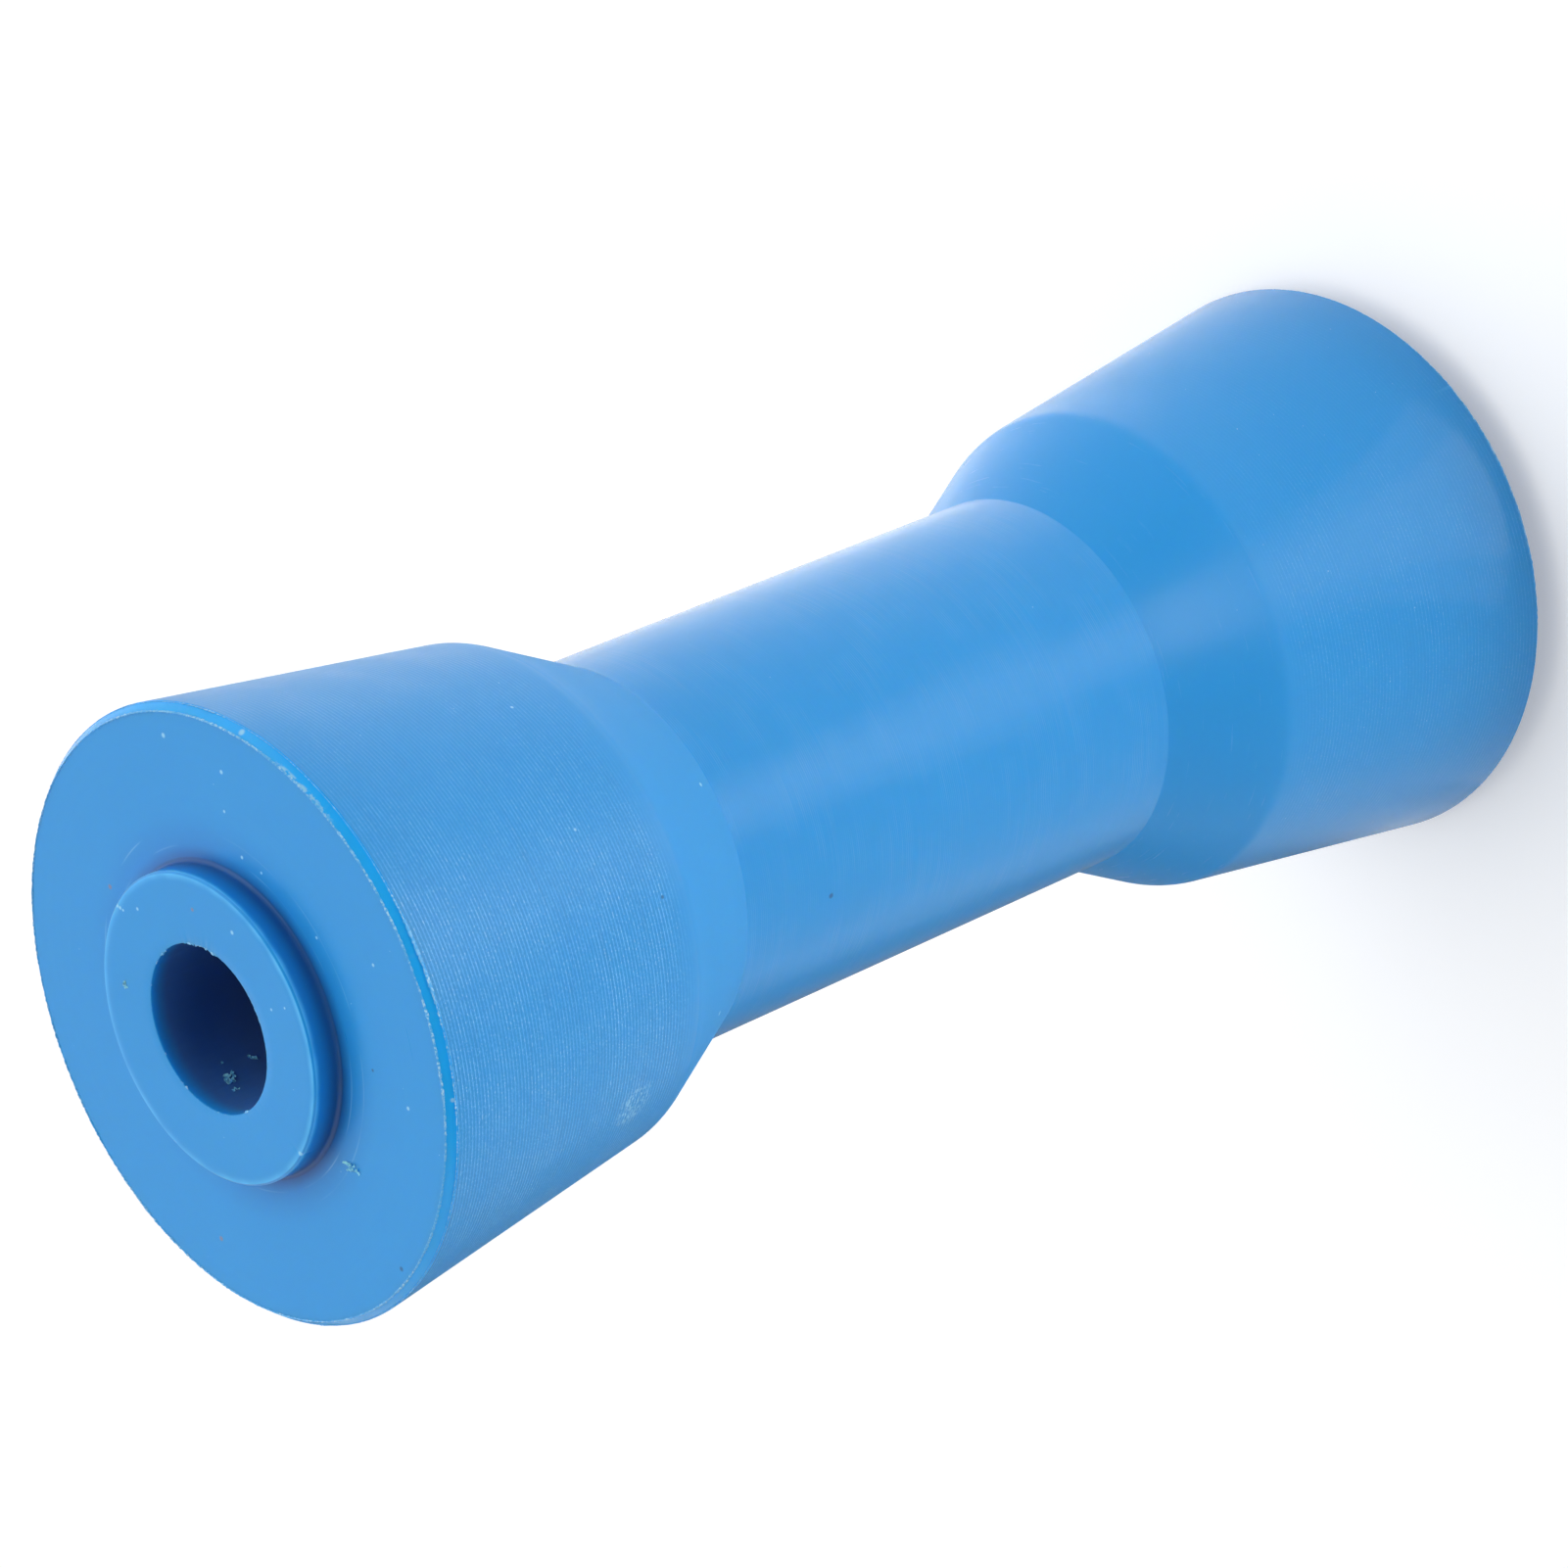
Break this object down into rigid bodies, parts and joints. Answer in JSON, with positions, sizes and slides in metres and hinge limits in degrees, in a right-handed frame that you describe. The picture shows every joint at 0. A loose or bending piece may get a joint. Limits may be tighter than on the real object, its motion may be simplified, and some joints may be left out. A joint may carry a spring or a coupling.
{
  "type": "boat trailer keel roller",
  "caption": "Solid turned plastic keel roller: a straight waist between two tapered heads, a raised hub on each end face and a through bore for an axle pin.",
  "frame": {"origin": "on the axis of the bore, at the lower hub end, where the roller stands", "axes": "+Z along the axle bore; the roller is round, so +X and +Y have no feature of their own"},
  "size_m": [0.0768, 0.0768, 0.2],
  "materials": {
    "blue_plastic": "satin, with fine turning marks"
  },
  "bodies": {
    "root": {"keel_roller": "blue_plastic"}
  },
  "joints": []
}
